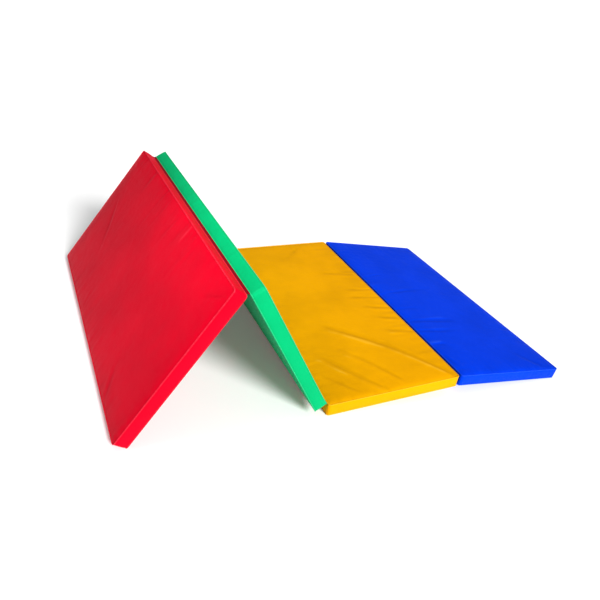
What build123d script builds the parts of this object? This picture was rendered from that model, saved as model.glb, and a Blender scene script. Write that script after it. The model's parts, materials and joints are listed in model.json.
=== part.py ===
from build123d import *
import math
import os

# A folding gym mat in millimetres: four padded panels in a row, joined by three fabric hinges that
# lie on alternate faces. The red and green panels stand as a tent, and the yellow and blue ones lie
# beside it as a very low roof. Each panel is drawn lying flat, in one row along X, then folded.
# The origin is on the floor, in the middle of the area that the standing mat covers.

panel_width = 600.0
panel_length = 1200.0
panel_thickness = 50.0
corner_radius = 12.0
cover_thickness = 0.6
core_clearance = 0.4

hinge_gap = 4.0            # between neighbouring borders when the mat lies flat
hinge_lift = 3.0           # from the faces that a hinge joins out to its axis
web_thickness = 0.6
web_clearance = 0.1        # between a web's edge and the seam that it is sewn into

zip_length = 560.0
zip_window = 12.0          # height of the slot in the border
zip_tape_width = 28.0
zip_tape_thickness = 0.5
zip_coil_width = 5.0
zip_coil_height = 1.2
slider_length = 14.0
slider_width = 10.0
slider_height = 3.2
slider_clearance = 0.4
slider_inset = 5.0         # from the zip's end to the slider that closes it
slider_corner = 1.5

roof_tilt = 4.3            # yellow panel's slope, rising to the right, in degrees
tent_lean = 55.8           # green panel's slope, rising to the left, in degrees

colours = ["red", "green", "yellow", "blue"]
zip_closes_left = {"red": True, "green": False, "yellow": True, "blue": False}

pitch = panel_width + hinge_gap
far_wall = panel_length / 2
mid_height = panel_thickness / 2


def panel_left(colour):
    """X of a panel's left border while the mat lies flat."""
    return colours.index(colour) * pitch


def rounded_outline(colour, inset):
    """A panel's plan outline, drawn in by inset on every side."""
    centre = Pos(panel_left(colour) + panel_width / 2, 0)
    shape = RectangleRounded(
        panel_width - 2 * inset, panel_length - 2 * inset, corner_radius - inset
    )
    return centre * shape


def block(x_low, x_high, y_low, y_high, z_low, z_high):
    """A plain block between two corners."""
    size = Box(x_high - x_low, y_high - y_low, z_high - z_low)
    middle = Pos((x_low + x_high) / 2, (y_low + y_high) / 2, (z_low + z_high) / 2)
    return middle * size


def zip_ends(colour):
    """X of the zip's two ends, with the zip in the middle of the panel's far border."""
    middle = panel_left(colour) + panel_width / 2
    return middle - zip_length / 2, middle + zip_length / 2


def bottom_cover(colour):
    """The sheet of coated fabric under the foam."""
    return extrude(rounded_outline(colour, 0), cover_thickness)


def top_cover(colour):
    """The sheet of coated fabric over the foam."""
    return Pos(0, 0, panel_thickness - cover_thickness) * bottom_cover(colour)


def border(colour):
    """The strip of coated fabric round the edge, slotted at the far end for the zip."""
    ring = rounded_outline(colour, 0) - rounded_outline(colour, cover_thickness)
    strip = extrude(ring, panel_thickness - 2 * cover_thickness)
    low, high = zip_ends(colour)
    slot = block(
        low,
        high,
        far_wall - 2 * cover_thickness,
        far_wall + cover_thickness,
        mid_height - zip_window / 2,
        mid_height + zip_window / 2,
    )
    return Pos(0, 0, cover_thickness) * strip - slot


def foam_core(colour):
    """The slab of closed-cell foam, a little smaller than the room inside the cover."""
    inset = cover_thickness + core_clearance
    slab = extrude(rounded_outline(colour, inset), panel_thickness - 2 * inset)
    low, high = zip_ends(colour)
    relief = block(
        low - corner_radius,
        high + corner_radius,
        far_wall - inset - 2 * zip_tape_thickness,
        far_wall,
        mid_height - zip_tape_width / 2 - core_clearance,
        mid_height + zip_tape_width / 2 + core_clearance,
    )
    return Pos(0, 0, inset) * slab - relief


def zip_chain(colour):
    """The zip's tape, sewn behind the border's slot, with the coil along its middle."""
    low, high = zip_ends(colour)
    inner_face = far_wall - cover_thickness
    tape = block(
        low,
        high,
        inner_face - zip_tape_thickness,
        inner_face,
        mid_height - zip_tape_width / 2,
        mid_height + zip_tape_width / 2,
    )
    coil = block(
        low,
        high,
        inner_face - zip_tape_thickness,
        inner_face + zip_coil_height,
        mid_height - zip_coil_width / 2,
        mid_height + zip_coil_width / 2,
    )
    return tape + coil


def slider_ends(colour):
    """X of the slider's two ends where the zip is closed."""
    low, high = zip_ends(colour)
    if zip_closes_left[colour]:
        return low + slider_inset, low + slider_inset + slider_length
    return high - slider_inset - slider_length, high - slider_inset


def zip_slider(colour):
    """The slider, a small plate with a groove that the coil runs through."""
    low, high = slider_ends(colour)
    floor_y = far_wall + slider_clearance
    body = block(
        low,
        high,
        floor_y,
        floor_y + slider_height,
        mid_height - slider_width / 2,
        mid_height + slider_width / 2,
    )
    body = fillet(body.edges().filter_by(Axis.Y), slider_corner)
    groove = block(
        low - slider_length,
        high + slider_length,
        floor_y - slider_clearance,
        floor_y + zip_coil_height,
        mid_height - zip_coil_width / 2 - slider_clearance,
        mid_height + zip_coil_width / 2 + slider_clearance,
    )
    return body - groove


def slider_travel():
    """How far a slider runs before it meets the other end of its zip."""
    return zip_length - slider_length - 2 * slider_inset


def hinge_axis(number):
    """A point on hinge 0, 1 or 2 while the mat lies flat; hinge 1 is on the top faces."""
    x = number * pitch + panel_width + hinge_gap / 2
    z = panel_thickness + hinge_lift if number == 1 else -hinge_lift
    return Pos(x, 0, z)


def turned(point, angle):
    """A turn about the line through point along Y; a positive angle takes +Z towards +X."""
    return point * Rot(0, angle, 0) * point.inverse()


def slope_to_floor(hinge_height):
    """The slope at which a panel's far edge touches the floor, hung from an underside hinge."""
    reach = panel_width + hinge_gap / 2
    arm = math.hypot(reach, hinge_lift)
    return math.degrees(math.asin(hinge_height / arm) + math.atan2(hinge_lift, reach))


def folded_places():
    """Where each panel stands, from where it lies flat, and the three fold angles."""
    low_edge = Pos(panel_left("yellow"), 0, 0)
    place = {"yellow": turned(low_edge, -roof_tilt)}
    roof_hinge = place["yellow"] * hinge_axis(2)
    roof_fold = roof_tilt + slope_to_floor(roof_hinge.position.Z)
    place["blue"] = place["yellow"] * turned(hinge_axis(2), roof_fold)
    side_fold = tent_lean + roof_tilt
    place["green"] = place["yellow"] * turned(hinge_axis(1), side_fold)
    ridge = place["green"] * hinge_axis(0)
    ridge_fold = tent_lean + slope_to_floor(ridge.position.Z)
    place["red"] = place["green"] * turned(hinge_axis(0), -ridge_fold)
    return place, [ridge_fold, side_fold, roof_fold]


def seam_point(colour, number, place):
    """The panel edge that a hinge's web is sewn to, as a point in the middle of its length."""
    on_left = colours.index(colour) == number
    x = panel_left(colour) + (panel_width if on_left else 0)
    z = panel_thickness if number == 1 else 0
    return (place[colour] * Pos(x, 0, z)).position


def hinge_web(number, place):
    """The fabric strip of one hinge, a thin bar from seam to seam on the hinge's own side."""
    start = seam_point(colours[number], number, place)
    end = seam_point(colours[number + 1], number, place)
    axis = (place[colours[number + 1]] * hinge_axis(number)).position
    along = (end - start).normalized()
    outward = Vector(-along.Z, 0, along.X)
    if (axis - start).dot(outward) < 0:
        outward = -outward
    lift = outward * (web_clearance + web_thickness / 2)
    middle = (start + end) * 0.5 + lift
    length = (end - start).length - 2 * web_clearance
    plane = Plane(origin=middle, x_dir=along, z_dir=Vector(0, 1, 0))
    width = panel_length - 2 * corner_radius
    strip = extrude(plane * Rectangle(length, web_thickness), width / 2, both=True)
    return strip


panel_parts = {
    "foam_core": foam_core,
    "top_cover": top_cover,
    "bottom_cover": bottom_cover,
    "border": border,
    "zip": zip_chain,
    "zip_slider": zip_slider,
}
web_names = ["ridge_hinge_web", "side_hinge_web", "roof_hinge_web"]


def folded_mat():
    """Every node of the mat as it stands, in the part's own frame, and what moved it there."""
    place, folds = folded_places()
    nodes = {}
    for colour in colours:
        for part_name, make in panel_parts.items():
            nodes[f"{colour}_{part_name}"] = place[colour] * make(colour)
    for number, name in enumerate(web_names):
        nodes[name] = hinge_web(number, place)
    boxes = [nodes[f"{colour}_border"].bounding_box() for colour in colours]
    low = min(box.min.X for box in boxes)
    high = max(box.max.X for box in boxes)
    to_origin = Pos(-(low + high) / 2, 0, 0)
    nodes = {name: to_origin * shape for name, shape in nodes.items()}
    place = {colour: to_origin * spot for colour, spot in place.items()}
    return nodes, place, folds


if __name__ == "__main__":
    os.makedirs("parts", exist_ok=True)
    for name, shape in folded_mat()[0].items():
        export_step(shape, f"parts/{name}.step")
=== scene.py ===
import json
import math

import bpy
import numpy as np
from mathutils import Matrix, Vector


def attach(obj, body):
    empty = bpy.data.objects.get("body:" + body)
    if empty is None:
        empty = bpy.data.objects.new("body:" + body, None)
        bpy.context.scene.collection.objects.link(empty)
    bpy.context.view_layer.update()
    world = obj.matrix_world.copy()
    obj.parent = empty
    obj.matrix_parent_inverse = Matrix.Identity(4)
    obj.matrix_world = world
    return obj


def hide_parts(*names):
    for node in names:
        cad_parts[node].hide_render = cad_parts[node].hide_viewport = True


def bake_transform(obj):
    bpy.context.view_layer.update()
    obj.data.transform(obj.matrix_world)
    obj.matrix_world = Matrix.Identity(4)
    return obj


# A folding gym mat: four foam panels in vinyl covers, joined by three fabric hinges. Each cover is
# blown up as cloth round its foam, cut into its sheets, creased, and set down where its panel stands.
# Panel coordinates, in metres: across the 0.6 m side, along the 1.2 m side, height above the underside.

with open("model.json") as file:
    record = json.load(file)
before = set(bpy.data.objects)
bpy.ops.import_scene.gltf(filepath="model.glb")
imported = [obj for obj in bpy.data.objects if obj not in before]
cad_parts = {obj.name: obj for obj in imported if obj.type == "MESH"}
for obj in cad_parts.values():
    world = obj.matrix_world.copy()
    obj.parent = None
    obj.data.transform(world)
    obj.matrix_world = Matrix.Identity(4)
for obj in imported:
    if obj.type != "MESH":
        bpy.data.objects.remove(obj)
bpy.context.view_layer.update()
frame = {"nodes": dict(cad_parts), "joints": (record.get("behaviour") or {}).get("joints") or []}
scene = bpy.context.scene
print("frame loaded:", len(frame["nodes"]), "parts")

panel = dict(width=0.6, length=1.2, thick=0.05, corner=0.012)
seam = dict(inset=0.0026, drop=0.0030, roll=0.010, wallRoll=0.005, welt=0.0021)
skin = 0.0008              # thickness of the coated fabric
zipSlot = dict(half=0.28, height=0.012)

# crown and underCrown are how far a face may swell, bulge how far a wall may. A crease is its start, its
# end, how far it bows to its left, its depth and its half width.
covers = {
    "red": dict(seed=3, crown=0.0040, underCrown=0.0020, bulge=0.0011, creases=[
        ((0.083, 0.499), (-0.167, 0.290), 0.010, 0.0009, 0.011),
        ((0.300, 0.142), (0.086, 0.165), 0.002, 0.0005, 0.008),
        ((0.298, 0.071), (0.120, 0.088), 0.001, 0.0005, 0.008),
        ((0.298, -0.068), (0.108, -0.040), -0.002, 0.0006, 0.008),
        ((0.298, -0.148), (0.150, -0.122), 0.001, 0.0004, 0.007),
        ((0.298, -0.262), (0.093, -0.232), 0.003, 0.0006, 0.009),
        ((0.296, 0.330), (0.170, 0.345), 0.002, 0.0004, 0.008),
        ((-0.298, -0.430), (-0.150, -0.330), 0.012, 0.0009, 0.013),
        ((-0.292, 0.120), (-0.170, 0.150), 0.004, 0.0006, 0.010),
        ((0.262, -0.580), (0.200, -0.470), 0.006, 0.0009, 0.010),
    ]),
    "green": dict(seed=8, crown=0.0018, underCrown=0.0020, bulge=0.0011, creases=[
        ((-0.290, -0.520), (-0.080, -0.300), 0.020, 0.0012, 0.013),
        ((-0.298, 0.240), (-0.120, 0.180), 0.006, 0.0008, 0.011),
        ((0.296, 0.380), (0.110, 0.280), -0.010, 0.0009, 0.012),
        ((0.298, -0.180), (0.160, -0.160), 0.003, 0.0006, 0.009),
        ((0.110, 0.590), (0.060, 0.430), 0.008, 0.0007, 0.010),
    ]),
    "yellow": dict(seed=5, crown=0.0020, underCrown=0.0020, bulge=0.0011, creases=[
        ((0.282, -0.584), (-0.178, -0.094), -0.041, 0.0024, 0.014),
        ((0.052, -0.560), (-0.145, -0.270), -0.012, 0.0011, 0.012),
        ((-0.037, -0.586), (-0.250, -0.250), 0.010, 0.0015, 0.014),
        ((-0.141, -0.575), (-0.270, -0.410), 0.006, 0.0009, 0.010),
        ((0.298, 0.222), (0.091, 0.283), 0.004, 0.0008, 0.010),
        ((0.298, 0.078), (0.139, 0.107), 0.002, 0.0010, 0.010),
        ((0.298, 0.006), (0.103, 0.041), 0.001, 0.0010, 0.010),
        ((0.298, -0.090), (0.139, -0.038), 0.003, 0.0012, 0.011),
        ((0.298, -0.178), (0.166, -0.129), 0.002, 0.0012, 0.011),
        ((0.298, -0.281), (0.142, -0.227), 0.004, 0.0013, 0.012),
        ((0.120, 0.560), (-0.060, 0.410), 0.012, 0.0006, 0.014),
    ]),
    "blue": dict(seed=12, crown=0.0036, underCrown=0.0020, bulge=0.0011, creases=[
        ((-0.293, 0.022), (0.119, 0.092), 0.010, 0.0009, 0.012),
        ((-0.298, -0.212), (0.067, -0.213), 0.008, 0.0015, 0.013),
        ((-0.298, -0.284), (0.006, -0.281), -0.006, 0.0012, 0.011),
        ((-0.298, -0.390), (-0.190, -0.392), 0.002, 0.0012, 0.010),
        ((-0.290, -0.455), (-0.268, -0.575), 0.004, 0.0014, 0.010),
        ((-0.298, -0.110), (-0.130, -0.098), 0.002, 0.0008, 0.010),
        ((-0.298, 0.190), (-0.120, 0.230), 0.003, 0.0007, 0.010),
        ((0.298, -0.300), (0.180, -0.250), 0.003, 0.0006, 0.010),
        ((0.240, -0.590), (0.110, -0.440), 0.010, 0.0009, 0.013),
    ]),
}
panelNames = list(covers)


def nodePoints(name):
    # a CAD part's vertices as rows of three
    vertices = frame["nodes"][name].data.vertices
    points = np.empty(len(vertices) * 3, np.float32)
    vertices.foreach_get("co", points)
    return points.reshape(-1, 3).astype(float)


def jointNamed(name):
    return next(joint for joint in frame["joints"] if joint["name"] == name)


def panelSpot(colour):
    # across is the zip's own direction, towards +X; out leaves the top face; the spot is the middle of
    # the underside, halfway between the cover sheets' ends across and at their lowest point outwards
    across = np.array(jointNamed(colour + "_zip_slide")["axis"], float)
    across *= np.sign(across[0])
    out = np.array([-across[2], 0, across[0]])
    points = np.concatenate([nodePoints(colour + "_bottom_cover"), nodePoints(colour + "_top_cover")])
    reach, height = points @ across, points @ out
    return dict(across=across, out=out,
                middle=across * (reach.min() + reach.max()) / 2 + out * height.min())


spots = {colour: panelSpot(colour) for colour in panelNames}


def standUp(points, colour):
    # panel coordinates to where the panel stands: middle + across * u + Y * v + out * height
    spot = spots[colour]
    return (spot["middle"] + points[..., :1] * spot["across"]
            + points[..., 1:2] * np.array([0, 1.0, 0]) + points[..., 2:] * spot["out"])


def makePiece(name, points, faces, smooth=True, **patterns):
    # a mesh from rows of points and faces; each pattern is a float or vector attribute on its points
    mesh = bpy.data.meshes.new(name)
    mesh.from_pydata(points.reshape(-1, 3).tolist(), [], faces.tolist())
    mesh.update()
    mesh.polygons.foreach_set("use_smooth", np.full(len(mesh.polygons), smooth))
    for key, values in patterns.items():
        kind, field = ("FLOAT_VECTOR", "vector") if values.shape[-1] == 3 else ("FLOAT", "value")
        layer = mesh.attributes.new(key, kind, "POINT")
        layer.data.foreach_set(field, values.astype(np.float32).ravel())
    piece = bpy.data.objects.new(name, mesh)
    scene.collection.objects.link(piece)
    return piece


def cellFaces(index, wrap=False):
    # one quad for each cell of an index grid; wrap joins the last column to the first
    nextOne = np.roll(index, -1, axis=1) if wrap else index[:, 1:]
    own = index if wrap else index[:, :-1]
    return np.stack([own[:-1], own[1:], nextOne[1:], nextOne[:-1]], -1).reshape(-1, 4)


def indexGrid(rows, columns, first=0):
    return first + np.arange(rows * columns).reshape(rows, columns)


def thicken(piece, amount):
    # gives a sheet its thickness on the inner side, so its outer face stays put
    solid = piece.modifiers.new("thickness", "SOLIDIFY")
    solid.thickness = amount
    solid.offset = -1
    solid.use_rim = True



def gridLines(half, stop, step, edgeGaps):
    # even cells between -stop and stop, then lines at the given gaps from the rim
    middle = np.linspace(-stop, stop, int(round(2 * stop / step)) + 1)
    side = half - np.array(edgeGaps)[::-1]
    return np.concatenate([-side[::-1], middle, side])


def panelLines(step, edgeGaps):
    # the zip's ends, at 0.28 across, fall on grid lines
    halfWide, halfLong = panel["width"] / 2, panel["length"] / 2
    return (gridLines(halfWide, zipSlot["half"], step, edgeGaps),
            gridLines(halfLong, halfLong - halfWide + zipSlot["half"], step, edgeGaps))


simLines = panelLines(0.0088, [0, 0.006, 0.012])
fineLines = panelLines(0.0043, [0, 0.0009, 0.0020, 0.0035, 0.0058, 0.0087, 0.012, 0.0158])
coarseLines = panelLines(0.0090, [0, 0.0012, 0.0030, 0.0055, 0.0087, 0.012, 0.0158])


def outline(lines, inset):
    # the plan drawn in by inset, its corners bent to quarter circles: a corner square's (a, b) goes to
    # (a sqrt(1 - b b / 2), b sqrt(1 - a a / 2))
    corner = panel["corner"]
    wide, long = panel["width"] / 2 - corner, panel["length"] / 2 - corner
    u, v = np.meshgrid(*lines, indexing="ij")
    a = np.clip((np.abs(u) - wide) / corner, 0, 1)
    b = np.clip((np.abs(v) - long) / corner, 0, 1)
    x = np.clip(np.abs(u), 0, wide) + (corner - inset) * a * np.sqrt(1 - b**2 / 2)
    y = np.clip(np.abs(v), 0, long) + (corner - inset) * b * np.sqrt(1 - a**2 / 2)
    return np.sign(u) * x, np.sign(v) * y


def rim(grid):
    # a grid's edge as one closed run, counter-clockwise from above
    return np.concatenate([grid[:-1, 0], grid[-1, :-1], grid[:0:-1, -1], grid[0, :0:-1]])


def ringPlan(lines, inset):
    # points round the outline with how far each lies along it and which way is out
    x, y = outline(lines, inset)
    ring = np.stack([rim(x), rim(y)], -1)
    core = np.clip(ring, [-(panel["width"] / 2 - panel["corner"]), -(panel["length"] / 2 - panel["corner"])],
                   [panel["width"] / 2 - panel["corner"], panel["length"] / 2 - panel["corner"]])
    outward = ring - core
    outward /= np.linalg.norm(outward, axis=1, keepdims=True)
    step = np.linalg.norm(ring - np.roll(ring, 1, axis=0), axis=1)
    step[0] = 0
    return ring, outward, np.cumsum(step)


def edgeGap(lines):
    # distance in from the rim
    u, v = np.meshgrid(*lines, indexing="ij")
    return np.minimum(panel["width"] / 2 - np.abs(u), panel["length"] / 2 - np.abs(v))



cloth = dict(frames=20, quality=5, mass=0.3, tension=40.0, shear=5.0, bending=0.4, pressure=2.6,
             spare=0.09, spareReach=0.055, unevenness=0.0002, inset=0.0012,
             wallHeights=[0.0412, 0.0337, 0.0250, 0.0163, 0.0088])


def coverShell():
    # one closed shell: top grid, underside grid and the rings of the wall between them
    x, y = outline(simLines, cloth["inset"])
    rows, columns = x.shape
    top = np.stack([x, y, np.full_like(x, panel["thick"] - cloth["inset"])], -1)
    under = np.stack([x, y, np.full_like(x, cloth["inset"])], -1)
    ring = rim(top)
    wall = np.repeat(ring[None], len(cloth["wallHeights"]), 0)
    wall[..., 2] = np.array(cloth["wallHeights"])[:, None]
    points = np.concatenate([top.reshape(-1, 3), under.reshape(-1, 3), wall.reshape(-1, 3)])
    face = indexGrid(rows, columns)
    rimIndex = rim(face)
    wallIndex = indexGrid(len(wall), len(ring), 2 * face.size)
    ringRows = np.concatenate([rimIndex[None], wallIndex, rimIndex[None] + face.size])
    faces = np.concatenate([cellFaces(face), cellFaces(face)[:, ::-1] + face.size, cellFaces(ringRows, True)])
    return points, faces, np.concatenate([rimIndex, rimIndex + face.size])


def blowUp(points, faces, held, spare, seed):
    # air pressure swells the shell with its seams held; the cloth near the seams has a little spare
    # length, so it puckers there
    uneven = np.random.default_rng(seed).normal(0, 1, outline(simLines, 0)[0].shape)
    for turn in range(10):
        uneven[1:-1, 1:-1] = (2 * uneven[1:-1, 1:-1] + uneven[:-2, 1:-1] + uneven[2:, 1:-1]
                              + uneven[1:-1, :-2] + uneven[1:-1, 2:]) / 6
    uneven *= cloth["unevenness"] / uneven.std()
    uneven[[0, -1]] = 0
    uneven[:, [0, -1]] = 0
    start = points.copy()
    start[:uneven.size, 2] += uneven.ravel()
    start[uneven.size:2 * uneven.size, 2] += uneven.ravel()[::-1]
    shell = makePiece("shell", start, faces)
    shell.vertex_groups.new(name="seams").add(held.tolist(), 1.0, "REPLACE")
    group = shell.vertex_groups.new(name="spare")
    levels = np.round(spare * 20) / 20
    for level in np.unique(levels[levels > 0]):
        group.add(np.flatnonzero(levels == level).tolist(), float(level), "REPLACE")
    modifier = shell.modifiers.new("cloth", "CLOTH")
    settings = modifier.settings
    settings.quality = cloth["quality"]
    settings.mass = cloth["mass"]
    settings.tension_stiffness = settings.compression_stiffness = cloth["tension"]
    settings.shear_stiffness = cloth["shear"]
    settings.bending_stiffness = cloth["bending"]
    settings.vertex_group_mass = "seams"
    settings.pin_stiffness = 1
    settings.use_pressure = True
    settings.uniform_pressure_force = cloth["pressure"]
    settings.vertex_group_shrink = "spare"
    settings.shrink_min = 0
    settings.shrink_max = -cloth["spare"]
    settings.effector_weights.gravity = 0
    modifier.collision_settings.use_collision = False
    modifier.point_cache.frame_start = 1
    modifier.point_cache.frame_end = cloth["frames"]
    for number in range(1, cloth["frames"] + 1):
        scene.frame_set(number)
    swollen = shell.evaluated_get(bpy.context.evaluated_depsgraph_get()).to_mesh()
    result = np.empty(len(points) * 3, np.float32)
    swollen.vertices.foreach_get("co", result)
    bpy.data.objects.remove(shell)
    scene.frame_set(1)
    return result.reshape(-1, 3).astype(float)


def swelling(colour):
    # how far the cloth rises from each face and from the wall
    points, faces, held = coverShell()
    shape = outline(simLines, 0)[0].shape
    count = shape[0] * shape[1]
    ring, outward, along = ringPlan(simLines, cloth["inset"])
    u, v = points[:, 0], points[:, 1]
    gap = np.minimum(panel["width"] / 2 - np.abs(u), panel["length"] / 2 - np.abs(v))
    moved = blowUp(points, faces, held, np.clip(1 - gap / cloth["spareReach"], 0, 1), covers[colour]["seed"]) - points
    wall = moved[2 * count:].reshape(-1, len(ring), 3)
    return (moved[:count, 2].reshape(shape), -moved[count:2 * count, 2].reshape(shape),
            (wall[..., :2] * outward).sum(-1))


def carry(old, new):
    # weights that take values on old lines to new ones, a cubic through the two nearest lines with
    # slopes from their neighbours
    cell = np.clip(np.searchsorted(old, new, side="right") - 1, 0, len(old) - 2)
    t = (new - old[cell]) / (old[cell + 1] - old[cell])
    weights = np.zeros((len(new), len(old)))
    row = np.arange(len(new))
    np.add.at(weights, (row, np.maximum(cell - 1, 0)), (-t + 2 * t**2 - t**3) / 2)
    np.add.at(weights, (row, cell), (2 - 5 * t**2 + 3 * t**3) / 2)
    np.add.at(weights, (row, cell + 1), (t + 4 * t**2 - 3 * t**3) / 2)
    np.add.at(weights, (row, np.minimum(cell + 2, len(old) - 1)), (t**3 - t**2) / 2)
    return weights


def soften(lines, reach):
    # weights that smooth values with a bell curve, mirrored upside down past the rims to hold them still
    share = np.gradient(lines) / (reach * math.sqrt(math.pi))
    apart = lines[:, None] - lines[None]
    both = lines[:, None] + lines[None]
    size = 2 * lines[-1]
    return (np.exp(-(apart / reach)**2) - np.exp(-((both - size) / reach)**2)
            - np.exp(-((both + size) / reach)**2)) * share


def tamed(rise, crown, pucker=1.0):
    # the broad swell, levelled off at crown as the foam's flat face would hold it, plus the fine
    # puckers on top: crown * tanh(broad / crown) + fine
    broad = soften(simLines[0], 0.030) @ rise @ soften(simLines[1], 0.030).T
    fine = np.clip((rise - broad) * pucker, -0.0008, 0.0008)
    return crown * np.tanh(broad / crown) + fine


def creaseRelief(lines, creases):
    # each crease runs from start to end, bowed; across it, a valley -exp(-q q) with a shoulder on one
    # side, 0.55 exp(-(q - 1.7)(q - 1.7)), where q is the distance off its line over its half width
    u, v = np.meshgrid(*lines, indexing="ij")
    relief = np.zeros_like(u)
    for start, end, bow, depth, halfWidth in creases:
        start, run = np.array(start), np.array(end) - np.array(start)
        length = np.linalg.norm(run)
        run = run / length
        t = ((u - start[0]) * run[0] + (v - start[1]) * run[1]) / length
        off = (v - start[1]) * run[0] - (u - start[0]) * run[1]
        inside = np.clip(t, 0, 1)
        swing = 1 + 0.25 * np.sin(9 * inside + 40 * depth * 1000)
        q = (off - bow * 4 * inside * (1 - inside)) / (halfWidth * (0.7 + 0.6 * inside))
        fade = np.clip(np.minimum((t + 0.03) / 0.12, (1.02 - t) / 0.45), 0, 1)
        fade = fade * fade * (3 - 2 * fade) * swing
        relief += depth * fade * (0.55 * np.exp(-(q - 1.7)**2) - np.exp(-q**2))
    return relief




gather = dict(long=0.00038, short=0.00028, pitch=0.0095, reach=0.030, spread=0.045, cloud=0.00022)


def waves(a, b, seed, short, long, count=18):
    # crossing waves of many lengths and directions, sum of sin(2 pi (a cos + b sin) / length + phase)
    random = np.random.default_rng(seed)
    angle = random.uniform(0, np.pi, count)[:, None, None]
    length = (short * (long / short)**random.uniform(0, 1, count))[:, None, None]
    phase = random.uniform(0, 2 * np.pi, count)[:, None, None]
    turn = 2 * np.pi * (a * np.cos(angle) + b * np.sin(angle)) / length + phase
    return ((length / long)**0.6 * np.sin(turn)).sum(0) / math.sqrt(count)


def gathers(lines, seed):
    # streaks square to each seam where the stitching has drawn the cloth up: a ripple along the seam
    # times exp(-gap / reach), the reach itself wandering
    random = np.random.default_rng(seed)
    relief = np.zeros((len(lines[0]), len(lines[1])))
    for axis, depth in ((1, gather["long"]), (0, gather["short"])):
        run, gapLines = lines[axis], lines[1 - axis]
        for end in (-1, 1):
            ripple = soften(run, gather["pitch"]) @ random.normal(size=len(run))
            wander = soften(run, 0.04) @ random.normal(size=len(run))
            reach = gather["reach"] + gather["spread"] * np.abs(wander / wander.std())
            gap = gapLines[-1] - end * gapLines
            streaks = (ripple / ripple.std()) * np.exp(-gap[:, None] / reach)
            relief += depth * (streaks if axis == 1 else streaks.T)
    return relief


def faceSheet(colour, side, lines, rise, creases):
    # height = thick - drop exp(-gap / roll) + swell + creases, for the top; the underside is mirrored.
    # the creases die out at the rim with 1 - exp(-(gap / 5 mm)^2)
    gap = edgeGap(lines)
    swell = carry(simLines[0], lines[0]) @ rise @ carry(simLines[1], lines[1]).T
    u, v = np.meshgrid(*lines, indexing="ij")
    seed = covers[colour]["seed"] + (0 if side == "Top" else 50)
    folds = creaseRelief(lines, creases) + gathers(lines, seed) + gather["cloud"] * waves(u, v, seed, 0.03, 0.16)
    folds = folds * (1 - np.exp(-(gap / 0.004)**2))
    level = swell + folds - seam["drop"] * np.exp(-gap / seam["roll"])
    x, y = outline(lines, seam["inset"])
    top = side == "Top"
    height = panel["thick"] + level if top else -level
    points = np.stack([x, y, height], -1)
    faces = cellFaces(indexGrid(*x.shape))
    # fold carries the creases to the finish, which paints shade in their valleys and highlight on their crests
    piece = makePiece(f"{colour}{side}Sheet", standUp(points, colour), faces if top else faces[:, ::-1],
                      cloth=np.stack([u, v, np.zeros_like(u)], -1), rim=gap[..., None],
                      fold=np.clip(folds / 0.001, -1, 1)[..., None])
    thicken(piece, skin)
    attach(piece, colour + "_panel")
    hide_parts(colour + ("_top_cover" if top else "_bottom_cover"))
    colour + "_vinyl"
    return piece


wallHeights = np.array([0.0474, 0.0448, 0.0420, 0.0375, 0.0310, 0.0250, 0.0190, 0.0125, 0.0080, 0.0052, 0.0026])
slotRows = (4, 6)          # the wall's rows that lie at the zip slot's two edges
lap = dict(across=0.262, width=0.012, step=0.0006)    # the border strip's ends, lapped on the near wall


def wallPoints(colour, wallRise):
    # inset = seam inset at each rim, dying away as exp(-gap / wallRoll), less the bulge between them
    ring, outward, along = ringPlan(fineLines, 0)
    oldAlong = ringPlan(simLines, 0)[2]
    whole = oldAlong[-1] + np.linalg.norm(ringPlan(simLines, 0)[0][-1] - ringPlan(simLines, 0)[0][0])
    rows = np.concatenate([np.zeros((1, wallRise.shape[1])), wallRise, np.zeros((1, wallRise.shape[1]))])
    columns = np.stack([np.interp(along, oldAlong, row, period=whole) for row in rows])
    heights = np.concatenate([[panel["thick"]], cloth["wallHeights"], [0]])
    bulge = (carry(heights[::-1], wallHeights) @ columns[::-1])
    limit = covers[colour]["bulge"]
    bulge = limit * np.tanh(bulge / limit)
    gap = np.minimum(wallHeights, panel["thick"] - wallHeights) - wallHeights.min()
    inset = seam["inset"] * np.exp(-gap / seam["wallRoll"])[:, None] - bulge
    # two soft dents where the strip turns each corner, and the lap where its ends meet
    cornerTurn = np.abs(outward[:, 0] * outward[:, 1]) * 2
    inset = inset + 0.0007 * cornerTurn * np.sin(np.pi * wallHeights / panel["thick"])[:, None]
    near = (ring[:, 1] < -panel["length"] / 2 + 0.001)
    overlap = near * np.clip((ring[:, 0] - lap["across"] + lap["width"]) / 0.002, 0, 1) * (
        ring[:, 0] < lap["across"] + 0.0005)
    inset = inset - lap["step"] * overlap
    inset = inset + 0.00045 * waves(along, wallHeights[:, None], covers[colour]["seed"] + 90, 0.018, 0.10, 24) * (
        1 - np.exp(-gap / 0.004))[:, None]
    plan = ring[None] - outward[None] * inset[..., None]
    height = np.broadcast_to(wallHeights[:, None, None], plan.shape[:2] + (1,))
    return np.concatenate([plan, height], -1), along


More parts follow.
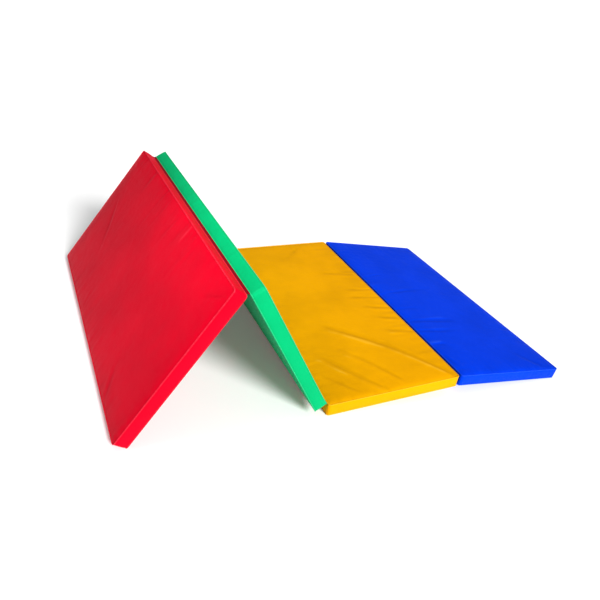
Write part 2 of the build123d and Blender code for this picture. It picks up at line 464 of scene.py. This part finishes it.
def borderStrip(colour, wallRise):
    # the wall's ring of cells without those of the zip slot
    points, along = wallPoints(colour, wallRise)
    rows, columns = points.shape[:2]
    faces = cellFaces(indexGrid(rows, columns), True).reshape(rows - 1, columns, 4)
    middle = points.reshape(-1, 3)[faces].mean(2)
    row = np.arange(rows - 1)[:, None]
    inSlot = ((row >= slotRows[0]) & (row < slotRows[1]) & (np.abs(middle[..., 0]) < zipSlot["half"])
              & (middle[..., 1] > panel["length"] / 2 - 0.01))
    gap = np.minimum(wallHeights, panel["thick"] - wallHeights)[:, None, None] * np.ones((rows, columns, 1))
    strip = np.stack([np.broadcast_to(along, (rows, columns)),
                      np.broadcast_to(wallHeights[:, None], (rows, columns)), np.zeros((rows, columns))], -1)
    piece = makePiece(f"{colour}Border", standUp(points, colour), faces[~inSlot],
                      cloth=strip, rim=gap, fold=np.zeros((rows, columns, 1)))
    thicken(piece, skin)
    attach(piece, colour + "_panel")
    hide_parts(colour + "_border")
    colour + "_vinyl"
    return points


def weltRope(colour, side):
    # a thin round bead along the seam: a circle carried along the outline, pinched at every stitch
    ring, outward, along = ringPlan(fineLines, seam["inset"] - 0.0004)
    turn = np.linspace(0, 2 * np.pi, 7)[:-1]
    radius = seam["welt"] * (1 + 0.05 * np.sin(along * 2 * np.pi / 0.0131))[:, None]
    height = seam["drop"] - 0.0006
    height = panel["thick"] - height if side == "Top" else height
    plan = ring[:, None] + outward[:, None] * (radius * np.cos(turn))[..., None]
    points = np.concatenate([plan, (height + radius * np.sin(turn))[..., None]], -1)
    index = indexGrid(*points.shape[:2])
    index = np.concatenate([index, index[:1]])
    strip = np.broadcast_to(np.stack([along, along * 0, along * 0], -1)[:, None], points.shape)
    # rim 0 and fold 0.9 make the vinyl finish pale the whole bead: a painted highlight along the seam
    piece = makePiece(f"{colour}{side}Welt", standUp(points, colour), cellFaces(index, True)[:, ::-1],
                      cloth=strip, rim=np.zeros(points.shape[:2] + (1,)), fold=np.full(points.shape[:2] + (1,), 0.9))
    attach(piece, colour + "_panel")
    colour + "_vinyl"
    return piece



foam = dict(inset=0.0032, edge=0.008, arcSteps=4)


def foamSlab(colour):
    # a closed slab: two faces and a wall whose edges follow quarter circles of the edge radius
    lines = panelLines(0.04, [0, 0.004, 0.008, 0.012])
    low, high = foam["inset"], panel["thick"] - foam["inset"]
    arc = np.linspace(0, np.pi / 2, foam["arcSteps"] + 1)
    edge = foam["edge"]
    insets = np.concatenate([edge - edge * np.sin(arc), edge - edge * np.sin(arc[::-1])]) + foam["inset"]
    heights = np.concatenate([high - edge + edge * np.cos(arc), low + edge - edge * np.cos(arc[::-1])])
    x, y = outline(lines, insets[0])
    face = indexGrid(*x.shape)
    top = np.stack([x, y, np.full_like(x, high)], -1)
    under = np.stack([x, y, np.full_like(x, low)], -1)
    rings = [np.concatenate([ringPlan(lines, inset)[0], np.full((len(rim(x)), 1), height)], -1)
             for inset, height in zip(insets[1:-1], heights[1:-1])]
    points = np.concatenate([top.reshape(-1, 3), under.reshape(-1, 3), np.concatenate(rings)])
    ringIndex = np.concatenate([rim(face)[None], indexGrid(len(rings), len(rings[0]), 2 * face.size),
                                rim(face)[None] + face.size])
    faces = np.concatenate([cellFaces(face), cellFaces(face)[:, ::-1] + face.size, cellFaces(ringIndex, True)])
    piece = makePiece(f"{colour}Foam", standUp(points, colour), faces)
    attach(piece, colour + "_panel")
    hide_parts(colour + "_foam_core")
    return piece



zipDetail = dict(toothPitch=0.0028, toothLength=0.0052, tapeBack=0.0010, stitchPitch=0.0042, stitchRow=0.0026)


def repeated(points, faces, places):
    # copies of one small shape, set down at each place
    many = points[None] + places[:, None]
    offsets = np.arange(len(places))[:, None, None] * len(points)
    return many.reshape(-1, 3), (faces[None] + offsets).reshape(-1, faces.shape[1])


def roundBar(length, width, height, stations=5):
    # a bar along the height axis with a six-sided section that narrows to its ends as a half ellipse
    t = np.linspace(-1, 1, stations)
    size = np.sqrt(np.clip(1 - (0.93 * t)**4, 0, 1))
    turn = np.linspace(0, 2 * np.pi, 7)[:-1]
    ring = np.stack([np.cos(turn) * width / 2, np.sin(turn) * height / 2], -1)
    body = np.concatenate([ring[None] * size[:, None, None],
                           np.broadcast_to((t * length / 2)[:, None, None], (stations, 6, 1))], -1)
    index = indexGrid(stations, 6)
    faces = cellFaces(index, True)[:, ::-1]
    caps = np.array([[0, 5, 4, 3], [0, 3, 2, 1]])
    ends = np.concatenate([caps, caps[:, ::-1] + (stations - 1) * 6])
    return body.reshape(-1, 3), np.concatenate([faces, ends])


def farWallAt(wall, across, height, back):
    # points on the far wall's outer face, moved back into the panel
    far = wall[:, wall[0, :, 1] > panel["length"] / 2 - 0.004]
    order = np.argsort(far[0, :, 0])
    far = far[:, order]
    depth = np.stack([np.interp(across, row[:, 0], row[:, 1]) for row in far])
    y = (carry(wallHeights[::-1], np.atleast_1d(height)) @ depth[::-1])
    return np.stack([np.broadcast_to(across, y.shape), y - back,
                     np.broadcast_to(np.atleast_1d(height)[:, None], y.shape)], -1)


def zipRun(colour, wall):
    # tape behind the slot, and a coil of small rounded teeth along its middle
    across = np.linspace(-zipSlot["half"] - 0.001, zipSlot["half"] + 0.001, 141)
    heights = np.array([0.0385, 0.0310, 0.0270, 0.0250, 0.0230, 0.0190, 0.0115])
    tape = farWallAt(wall, across, heights, zipDetail["tapeBack"])
    tapeFaces = cellFaces(indexGrid(*tape.shape[:2]))[:, ::-1]
    tooth, toothFaces = roundBar(zipDetail["toothLength"], 0.0022, 0.0020)
    spread = np.arange(-zipSlot["half"] + 0.002, zipSlot["half"] - 0.001, zipDetail["toothPitch"])
    places = farWallAt(wall, spread, 0.025, zipDetail["tapeBack"] - 0.0004)[0]
    places[:, 2] = 0.025
    places[:, 2] += 0.0004 * np.where(np.arange(len(spread)) % 2, 1, -1)
    teeth, teethFaces = repeated(tooth, toothFaces, places)
    points = np.concatenate([tape.reshape(-1, 3), teeth])
    faces = np.concatenate([tapeFaces, teethFaces + tape.size // 3])
    strip = np.concatenate([tape.reshape(-1, 3)[:, [0, 2, 1]], teeth[:, [0, 2, 1]]])
    coil = np.concatenate([np.zeros(tape.size // 3), np.ones(len(teeth))])[:, None]
    piece = makePiece(f"{colour}Zip", standUp(points, colour), faces, cloth=strip, coil=coil)
    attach(piece, colour + "_panel")
    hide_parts(colour + "_zip")
    # two rows of stitches, above and below the slot, and one short row across each end
    stitch, stitchFaces = roundBar(0.0034, 0.0007, 0.0006, 3)
    flat = stitch[:, [2, 1, 0]]
    row = zipDetail["stitchRow"]
    spread = np.arange(-zipSlot["half"] - row, zipSlot["half"] + row, zipDetail["stitchPitch"])
    lines = [farWallAt(wall, spread, height, 0.0001)[0]
             for height in (0.025 + zipSlot["height"] / 2 + row, 0.025 - zipSlot["height"] / 2 - row)]
    points, faces = repeated(flat, stitchFaces[:, ::-1], np.concatenate(lines))
    upright = np.arange(0.0185, 0.0325, zipDetail["stitchPitch"])
    ends = np.concatenate([farWallAt(wall, np.array([side * (zipSlot["half"] + row)]), upright, 0.0001)[:, 0]
                           for side in (-1, 1)])
    morePoints, moreFaces = repeated(stitch, stitchFaces, ends)
    points, faces = np.concatenate([points, morePoints]), np.concatenate([faces, moreFaces + len(points)])
    piece = makePiece(f"{colour}ZipStitches", standUp(points, colour), faces)
    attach(piece, colour + "_panel")
    colour + "_vinyl"


slider = dict(length=0.014, width=0.0098, height=0.0031, tabLength=0.019, tabWidth=0.0062, tabThick=0.0011)


def zipSliderPiece(colour):
    # a waisted plate, rounded at its rim, with a bridge over it and a pull tab lying along the zip
    spot = spots[colour]
    points = nodePoints(colour + "_zip_slider") - spot["middle"]
    across, out = points @ spot["across"], points @ spot["out"]
    middle = (across.min() + across.max()) / 2
    back = points[:, 1].min() + 0.0002
    lead = 1 if middle < 0 else -1        # the tab lies towards the open run of the zip
    turn = np.linspace(0, 2 * np.pi, 41)[:-1]
    # plan: a super-ellipse, |x|^3 + |y|^3 = 1, drawn in at the waist and towards its narrow end
    cosine, sine = np.cos(turn), np.sin(turn)
    x = np.sign(cosine) * np.abs(cosine)**(2 / 3) * slider["length"] / 2
    z = np.sign(sine) * np.abs(sine)**(2 / 3) * slider["width"] / 2
    z = z * (0.86 + 0.14 * np.tanh(x * lead * -400)) * (1 - 0.12 * np.exp(-(x / 0.003)**2))
    rows = np.array([[1.0, 0.0], [1.0, 0.55], [0.97, 0.8], [0.88, 0.95], [0.7, 1.0], [0.35, 1.04], [0.02, 1.06]])
    plate = np.stack([x * rows[:, :1], np.broadcast_to(rows[:, 1:] * slider["height"], (7, 40)),
                      z * rows[:, :1]], -1)
    # underneath, a channel for the teeth, open at both ends
    grooveDepth = 0.0017
    mouth = np.clip((np.abs(cosine) - 0.62) / 0.12, 0, 1) * 0.0016
    edge = np.stack([x, mouth, z], -1)
    hollow = np.stack([x * 0.9, mouth, z * 0.80], -1)
    floor = np.stack([x * 0.02, np.full(40, grooveDepth), z * 0.02], -1)
    ceiling = np.stack([x * 0.9, np.full(40, grooveDepth), z * 0.78], -1)
    shell = np.concatenate([floor[None], ceiling[None], hollow[None], edge[None], plate[1:]])
    faces = cellFaces(indexGrid(*shell.shape[:2]), True)
    # the tab: a flat rounded bar with a thicker ring end, and the bridge as a bent strap
    s = np.linspace(0, 1, 15)
    halfTab = slider["tabWidth"] / 2 * np.sqrt(np.clip(1 - (2 * s - 1)**8, 0.02, 1)) * (1 - 0.25 * s * (1 - s) * 4)
    section = np.array([[-1, -1], [-1, 1], [1, 1], [1, -1]]) * [1, slider["tabThick"] / 2]
    tabX = lead * (0.001 + s * slider["tabLength"])
    tabLift = slider["height"] + 0.0014 - 0.0012 * s
    tab = np.stack([np.broadcast_to(tabX[:, None], (15, 4)),
                    tabLift[:, None] + section[None, :, 1] * np.ones((15, 1)),
                    halfTab[:, None] * section[None, :, 0]], -1)
    tabFaces = cellFaces(indexGrid(15, 4), True)
    bend = np.linspace(0, np.pi, 13)
    strapX = -np.cos(bend) * slider["length"] * 0.34
    strapY = slider["height"] * 0.95 + np.sin(bend) * 0.0024
    strapSection = np.array([[-1, -1], [-1, 1], [1, 1], [1, -1]]) * [0.0013, 0.0004]
    strap = np.stack([np.broadcast_to(strapX[:, None], (13, 4)) - np.cos(bend)[:, None] * strapSection[None, :, 1],
                      strapY[:, None] + np.sin(bend)[:, None] * strapSection[None, :, 1],
                      np.broadcast_to(strapSection[None, :, 0], (13, 4))], -1)
    strapFaces = cellFaces(indexGrid(13, 4), True)
    parts, quads, count = [], [], 0
    for body, bodyFaces in ((shell, faces), (tab, tabFaces), (strap, strapFaces)):
        body = body.reshape(-1, 3)
        parts.append(body)
        quads.append(bodyFaces + count)
        count += len(body)
    points = np.concatenate(parts) + [middle, back, (out.min() + out.max()) / 2]
    faces = np.concatenate(quads)
    piece = makePiece(f"{colour}ZipSlider", standUp(points, colour), faces)
    closeAndTurnOut(piece)
    bevel = piece.modifiers.new("edges", "BEVEL")
    bevel.width = 0.0002
    bevel.segments = 1
    bevel.limit_method = "ANGLE"
    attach(piece, colour + "_slider")
    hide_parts(colour + "_zip_slider")
    return piece


def closeAndTurnOut(piece):
    # merges doubles, fills open ends and turns every face outwards
    import bmesh
    work = bmesh.new()
    work.from_mesh(piece.data)
    bmesh.ops.remove_doubles(work, verts=work.verts, dist=1e-6)
    bmesh.ops.holes_fill(work, edges=[e for e in work.edges if e.is_boundary], sides=60)
    bmesh.ops.recalc_face_normals(work, faces=work.faces)
    work.to_mesh(piece.data)
    work.free()



hinges = {
    "ridge": dict(bodies=("red", "green"), ends=(1, -1), face=0, bulge=0.0016),
    "side": dict(bodies=("green", "yellow"), ends=(1, -1), face=1, bulge=0.0016),
    "roof": dict(bodies=("yellow", "blue"), ends=(1, -1), face=0, bulge=0.0012),
}
web = dict(length=1.172, tuck=0.0034, steps=14)


def hingeWeb(name):
    # the strip goes from seam to seam, bulging 4 t (1 - t) * bulge towards its hinge's axis, and is
    # tucked into the seam at both edges
    side = hinges[name]
    joint = jointNamed(name + "_hinge")
    axis = np.array(joint["pos_m"], float)
    seams, inward = [], []
    for colour, end in zip(side["bodies"], side["ends"]):
        spot = spots[colour]
        up = 1 if side["face"] else -1
        rimHeight = panel["thick"] - seam["drop"] + 0.0012 if side["face"] else seam["drop"] - 0.0012
        seams.append(spot["middle"] + spot["across"] * end * (panel["width"] / 2 - 0.0008) + spot["out"] * rimHeight)
        inward.append(-spot["across"] * end * 0.8 - spot["out"] * up * 0.6)
    run = seams[1] - seams[0]
    normal = np.array([-run[2], 0, run[0]]) / np.linalg.norm(run)
    normal *= np.sign((axis - seams[0]) @ normal)
    t = np.linspace(0, 1, web["steps"] + 1)
    arch = (4 * t * (1 - t))**0.8 * side["bulge"]
    middle = seams[0] + run * t[:, None] + normal * arch[:, None]
    tuckA = seams[0] + inward[0] * web["tuck"] * np.array([[1.0], [0.5]])
    tuckB = seams[1] + inward[1] * web["tuck"] * np.array([[0.5], [1.0]])
    profile = np.concatenate([tuckA, middle, tuckB])
    width = np.concatenate([[0], np.cumsum(np.linalg.norm(np.diff(profile, axis=0), axis=1))])
    v = np.linspace(-web["length"] / 2, web["length"] / 2, 235)
    # the strip gathers a little between stitches: a ripple along it, strongest half way across
    bell = np.exp(-((width / width[-1] - 0.5) / 0.28)**2)
    ripple = 0.00025 * (np.sin(v * 2 * np.pi / 0.061 + 1) + 0.6 * np.sin(v * 2 * np.pi / 0.023))
    points = (profile[:, None] + np.array([0, 1.0, 0]) * v[None, :, None]
              + normal * (bell[:, None] * ripple[None])[..., None])
    faces = cellFaces(indexGrid(*points.shape[:2]))
    if side["face"] == 0:
        faces = faces[:, ::-1]
    cloth3 = np.stack([np.broadcast_to(v, points.shape[:2]), np.broadcast_to(width[:, None], points.shape[:2]),
                       np.zeros(points.shape[:2])], -1)
    piece = makePiece(f"{name}Web", points, faces, cloth=cloth3,
                      rim=np.full(points.shape[:2] + (1,), 0.02), fold=np.zeros(points.shape[:2] + (1,)))
    thicken(piece, 0.0007)
    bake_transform(piece)
    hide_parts(name + "_hinge_web")
    return piece



class Value:
    # one socket in a material; sums and products of these add Math nodes
    def __init__(self, finish, socket):
        self.finish = finish
        self.socket = socket

    def math(self, operation, *values):
        return self.finish.add("ShaderNodeMath", dict(operation=operation), dict(enumerate(values)))

    def __add__(self, other):
        return self.math("ADD", self, other)

    def __sub__(self, other):
        return self.math("SUBTRACT", self, other)

    def __rsub__(self, other):
        return self.math("SUBTRACT", other, self)

    def __mul__(self, other):
        return self.math("MULTIPLY", self, other)

    def __pow__(self, other):
        return self.math("POWER", self, other)

    __radd__ = __add__
    __rmul__ = __mul__

    def band(self, low, high):
        # 0 below low, 1 above high, smooth between
        return self.finish.add("ShaderNodeMapRange", dict(interpolation_type="SMOOTHSTEP"),
                               {"Value": self, "From Min": low, "From Max": high})


class Finish:
    # a material with its own coordinates, built node by node
    def __init__(self, name):
        self.material = bpy.data.materials.new(name)
        self.material.use_nodes = True
        self.tree = self.material.node_tree
        self.tree.nodes.clear()
        self.place = self.add("ShaderNodeTexCoord", {}, {}, "Object")

    def add(self, kind, settings, sockets, output=0):
        node = self.tree.nodes.new(kind)
        for key, value in settings.items():
            setattr(node, key, value)
        for key, value in sockets.items():
            if isinstance(value, Value):
                self.tree.links.new(value.socket, node.inputs[key])
            else:
                node.inputs[key].default_value = value
        return Value(self, node.outputs[output])

    def attribute(self, name, output="Fac"):
        return self.add("ShaderNodeAttribute", dict(attribute_name=name), {}, output)

    def split(self, vector):
        node = self.add("ShaderNodeSeparateXYZ", {}, {0: vector}).socket.node
        return [Value(self, socket) for socket in node.outputs]

    def noise(self, size, detail=2.0, roughness=0.5, where=None, output=0):
        # clouds whose lumps are about size metres across
        return self.add("ShaderNodeTexNoise", {}, {"Vector": where or self.place, "Scale": 1 / size,
                                                   "Detail": detail, "Roughness": roughness}, output)

    def cells(self, size, where=None, feature="F1"):
        return self.add("ShaderNodeTexVoronoi", dict(feature=feature),
                        {"Vector": where or self.place, "Scale": 1 / size})

    def mix(self, share, first, second):
        return self.add("ShaderNodeMix", dict(data_type="RGBA"), {0: share, 6: first, 7: second}, 2)

    def bump(self, height, depth, normal=None):
        sockets = {"Height": height, "Strength": 1.0, "Distance": depth}
        if normal:
            sockets["Normal"] = normal
        return self.add("ShaderNodeBump", {}, sockets)

    def surface(self, **sockets):
        names = {key: key.replace("_", " ") for key in sockets}
        shader = self.add("ShaderNodeBsdfPrincipled", {}, {names[key]: value for key, value in sockets.items()})
        self.add_output(shader)
        return self.material

    def add_output(self, shader):
        node = self.tree.nodes.new("ShaderNodeOutputMaterial")
        self.tree.links.new(shader.socket, node.inputs["Surface"])


def shade(colour, factor):
    return tuple(min(1.0, channel * factor) for channel in colour) + (1.0,)


vinylColours = {
    "red": dict(base=(0.60, 0.0012, 0.022), pale=(0.88, 0.13, 0.18)),
    "green": dict(base=(0.002, 0.42, 0.160), pale=(0.16, 0.74, 0.42)),
    "yellow": dict(base=(0.74, 0.350, 0.0003), pale=(0.95, 0.62, 0.10)),
    "blue": dict(base=(0.0003, 0.054, 0.68), pale=(0.08, 0.22, 0.95)),
    # the ridge web is a dark red: painted shade for the groove between the red and green panels
    "ridgeWeb": dict(base=(0.19, 0.004, 0.012), pale=(0.3, 0.04, 0.05)),
}
vinylLook = dict(roughness=0.44, specular=0.04, grain=0.0016, weave=0.0012)


def vinylFinish(name):
    # coated polyester: colour drifting slowly, a pebbled grain over a faint square weave, handling
    # smudges in the gloss, paler scuffs along the rims that double as a painted highlight there, painted shade in the
    # creases' valleys and painted highlight on their crests
    tone = vinylColours[name]
    finish = Finish(name + "Vinyl")
    cloth, rimGap, fold = finish.attribute("cloth", "Vector"), finish.attribute("rim"), finish.attribute("fold")
    drift = finish.noise(0.22, 3).band(0.3, 0.7)
    mottle = finish.noise(0.012, 4, 0.6)
    colour = finish.mix(drift, shade(tone["base"], 0.93), shade(tone["base"], 1.06))
    colour = finish.mix(mottle * 0.16, colour, shade(tone["base"], 0.78))
    # painted shade: the colour is darker in the creases' valleys
    paintedCreaseShade = (fold * -1).band(0.0, 1.2)
    colour = finish.mix(paintedCreaseShade * 0.30, colour, shade(tone["base"], 0.62))
    # paler scuffs near the rims, which also paint a highlight along the seams; on the welts, whose rim is 0
    # throughout, they pale the whole bead as a painted highlight
    nearRim = 1 - rimGap.band(0.0015, 0.0065)
    scuffAndRimHighlight = nearRim * finish.noise(0.006, 5, 0.7).band(0.44, 0.66)
    rub = finish.noise(0.05, 6, 0.75).band(0.62, 0.80)
    # painted highlight: paler on the creases' crests, and on the welts, whose fold is 0.9 throughout
    paintedCrestHighlight = fold.band(0.5, 1.6)
    colour = finish.mix(paintedCrestHighlight * 0.40, colour, shade(tone["pale"], 1.0))
    colour = finish.mix(scuffAndRimHighlight * 0.22 + rub * 0.05, colour, shade(tone["pale"], 1.0))
    x, y, unused = finish.split(cloth)
    turns = 2 * math.pi / vinylLook["weave"]
    weave = (x * turns).math("SINE", x * turns) * (y * turns).math("SINE", y * turns)
    pebbles = finish.cells(vinylLook["grain"]).math("MULTIPLY", finish.cells(vinylLook["grain"]), 1.0)
    height = pebbles * 0.55 + weave * 0.10 + finish.noise(0.004, 3) * 0.5
    smudge = finish.noise(0.035, 5, 0.65)
    rough = smudge * 0.16 + (vinylLook["roughness"] - 0.08) + scuffAndRimHighlight * 0.18
    slack = finish.bump(finish.noise(0.030, 2), 0.0011)
    normal = finish.bump(height, 0.00018, slack)
    return finish.surface(Base_Color=colour, Roughness=rough, Specular_IOR_Level=vinylLook["specular"],
                          Normal=normal)


def foamFinish():
    # closed-cell foam: fine cells cut through at the surface
    finish = Finish("closedCellFoam")
    cells = finish.cells(0.0014)
    colour = finish.mix(finish.noise(0.02, 4), (0.80, 0.80, 0.77, 1), (0.90, 0.90, 0.88, 1))
    # painted shade: darker in the cut cells' pits, where the bump sinks
    colour = finish.mix(1 - cells.band(0.0, 0.45), colour, (0.62, 0.62, 0.60, 1))
    normal = finish.bump(cells + finish.noise(0.006, 3) * 0.4, 0.0004)
    return finish.surface(Base_Color=colour, Roughness=finish.noise(0.01) * 0.1 + 0.85, Normal=normal)


def zipFinish():
    # black polyester tape in a herringbone weave; the coil's nylon is smoother and a shade paler
    finish = Finish("zipTape")
    cloth, coil = finish.attribute("cloth", "Vector"), finish.attribute("coil")
    x, y, unused = finish.split(cloth)
    lean = (y * 700).math("PINGPONG", y * 700, 1.0)
    rib = (x * 4200 + lean * 3).math("SINE", x * 4200 + lean * 3) * (1 - coil)
    colour = finish.mix(finish.noise(0.003, 4), (0.016, 0.016, 0.018, 1), (0.05, 0.05, 0.055, 1))
    colour = finish.mix(coil * 0.6, colour, (0.085, 0.085, 0.09, 1))
    normal = finish.bump(rib * 0.5 + finish.noise(0.0008, 2) * 0.5, 0.00015)
    return finish.surface(Base_Color=colour, Roughness=0.86 - coil * 0.42, Normal=normal)


def nickelFinish():
    # nickel plate: scratched, with the base metal showing where it is handled
    finish = Finish("nickelPlate")
    worn = finish.noise(0.003, 6, 0.7).band(0.56, 0.70)
    colour = finish.mix(worn, (0.62, 0.61, 0.58, 1), (0.44, 0.41, 0.36, 1))
    scratches = finish.noise(0.0006, 5, 0.8)
    return finish.surface(Base_Color=colour, Metallic=1.0, Roughness=worn * 0.22 + scratches * 0.14 + 0.18,
                          Normal=finish.bump(scratches, 0.00003))


def threadFinish(name):
    # bonded thread in the cover's colour, with the twist of its plies
    tone = vinylColours[name]
    finish = Finish(name + "Thread")
    twist = finish.noise(0.0007, 2)
    colour = finish.mix(twist, shade(tone["base"], 0.55), shade(tone["pale"], 0.95))
    return finish.surface(Base_Color=colour, Roughness=twist * 0.2 + 0.5, Normal=finish.bump(twist, 0.0001))



vinyl = {name: vinylFinish(name) for name in vinylColours}
foamMaterial, zipMaterial, nickel = foamFinish(), zipFinish(), nickelFinish()
print("finishes made")

walls = {}
for colour in panelNames:
    look = covers[colour]
    foamSlab(colour)
    topRise, underRise, wallRise = swelling(colour)
    print(f"{colour} cover blown up: {topRise.max() * 1000:.1f} mm on top, {wallRise.max() * 1000:.1f} mm at the wall")
    faceSheet(colour, "Top", fineLines, tamed(topRise, look["crown"]), look["creases"])
    faceSheet(colour, "Under", coarseLines, tamed(underRise, look["underCrown"], 0.5), [])
    walls[colour] = borderStrip(colour, wallRise)
    weltRope(colour, "Top")
    weltRope(colour, "Under")
    zipRun(colour, walls[colour])
    zipSliderPiece(colour)
    for part in ("TopSheet", "UnderSheet", "Border", "TopWelt", "UnderWelt"):
        bpy.data.objects[colour + part].data.materials.append(vinyl[colour])
    bpy.data.objects[colour + "Foam"].data.materials.append(foamMaterial)
    bpy.data.objects[colour + "Zip"].data.materials.append(zipMaterial)
    bpy.data.objects[colour + "ZipSlider"].data.materials.append(nickel)
    bpy.data.objects[colour + "ZipStitches"].data.materials.append(threadFinish(colour))

# the ridge web takes the dark red, painted shade in its groove
for name, tone in (("ridge", "ridgeWeb"), ("side", "green"), ("roof", "yellow")):
    hingeWeb(name).data.materials.append(vinyl[tone])
print("panels and hinges made")



floorLook = dict(size=60.0, level=-0.0006, tone=0.90)


def layFloor():
    # a wide plain sheet just under the mat, near white, with a breath of unevenness
    half = floorLook["size"] / 2
    points = np.array([[-half, -half, 0], [half, -half, 0], [half, half, 0], [-half, half, 0]]) + [0, 0, floorLook["level"]]
    floor = makePiece("floor", points, np.array([[0, 1, 2, 3]]), False)
    finish = Finish("paleFloor")
    tone = floorLook["tone"]
    colour = finish.mix(finish.noise(0.5, 3), (tone, tone, tone, 1), (tone * 0.985,) * 3 + (1,))
    floor.data.materials.append(finish.surface(Base_Color=colour, Roughness=0.9, Specular_IOR_Level=0.1,
                                               Emission_Color=(1, 1, 1, 1), Emission_Strength=0.10))


sunLook = dict(azimuth=170, height=33, strength=3.7, spread=22)
softBox = dict(place=(-1.02, -0.40, 1.08), aim=(-0.74, -0.10, 0.50), size=0.5, power=4.6)
studio = dict(seen=1.0, fill=0.31)


def hangLights():
    # a sun as wide as a soft box, whose azimuth is the compass direction that it stands in, +Y being 0,
    # and a near soft box over the tent
    lamp = bpy.data.lights.new("key", "SUN")
    lamp.energy = sunLook["strength"]
    lamp.angle = math.radians(sunLook["spread"])
    sun = bpy.data.objects.new("key", lamp)
    sun.rotation_euler = (math.radians(90 - sunLook["height"]), 0, math.radians(180 - sunLook["azimuth"]))
    scene.collection.objects.link(sun)
    lamp = bpy.data.lights.new("softBox", "AREA")
    lamp.energy = softBox["power"]
    lamp.size = softBox["size"]
    box = bpy.data.objects.new("softBox", lamp)
    box.location = softBox["place"]
    aim = Vector(softBox["aim"]) - Vector(softBox["place"])
    box.rotation_euler = aim.to_track_quat("-Z", "Y").to_euler()
    box.visible_camera = False
    scene.collection.objects.link(box)
    # a white room to look at, whose walls and ceiling give only a dim fill
    world = bpy.data.worlds.new("studio")
    world.use_nodes = True
    tree = world.node_tree
    fill = tree.nodes.new("ShaderNodeMapRange")
    fill.inputs["To Min"].default_value = studio["fill"]
    fill.inputs["To Max"].default_value = studio["seen"]
    tree.links.new(tree.nodes.new("ShaderNodeLightPath").outputs["Is Camera Ray"], fill.inputs["Value"])
    tree.links.new(fill.outputs[0], tree.nodes["Background"].inputs["Strength"])
    tree.nodes["Background"].inputs["Color"].default_value = (1, 1, 1, 1)
    scene.world = world


camera = dict(place=(-1.2612, -1.8626, 1.3256), azimuth=31.867, down=25.733, roll=13.61, lens=34.245,
              shift=(-0.005, -0.0533))


def setCamera():
    # looks along its azimuth and down by its pitch, then rolls about that line
    azimuth, down, roll = (math.radians(camera[key]) for key in ("azimuth", "down", "roll"))
    forward = np.array([math.sin(azimuth) * math.cos(down), math.cos(azimuth) * math.cos(down), -math.sin(down)])
    level = np.array([math.cos(azimuth), -math.sin(azimuth), 0])
    upright = np.cross(level, forward)
    right = level * math.cos(roll) + upright * math.sin(roll)
    up = upright * math.cos(roll) - level * math.sin(roll)
    lens = bpy.data.cameras.new("camera")
    lens.lens = camera["lens"]
    lens.sensor_width = 36
    lens.shift_x, lens.shift_y = camera["shift"]
    eye = bpy.data.objects.new("camera", lens)
    turn = np.eye(4)
    turn[:3, :3] = np.stack([right, up, -forward], -1)
    turn[:3, 3] = camera["place"]
    eye.matrix_world = Matrix(turn.tolist())
    scene.collection.objects.link(eye)
    scene.camera = eye


layFloor()
hangLights()
setCamera()
scene.view_settings.view_transform = "Standard"
scene.view_settings.look = "Medium High Contrast"
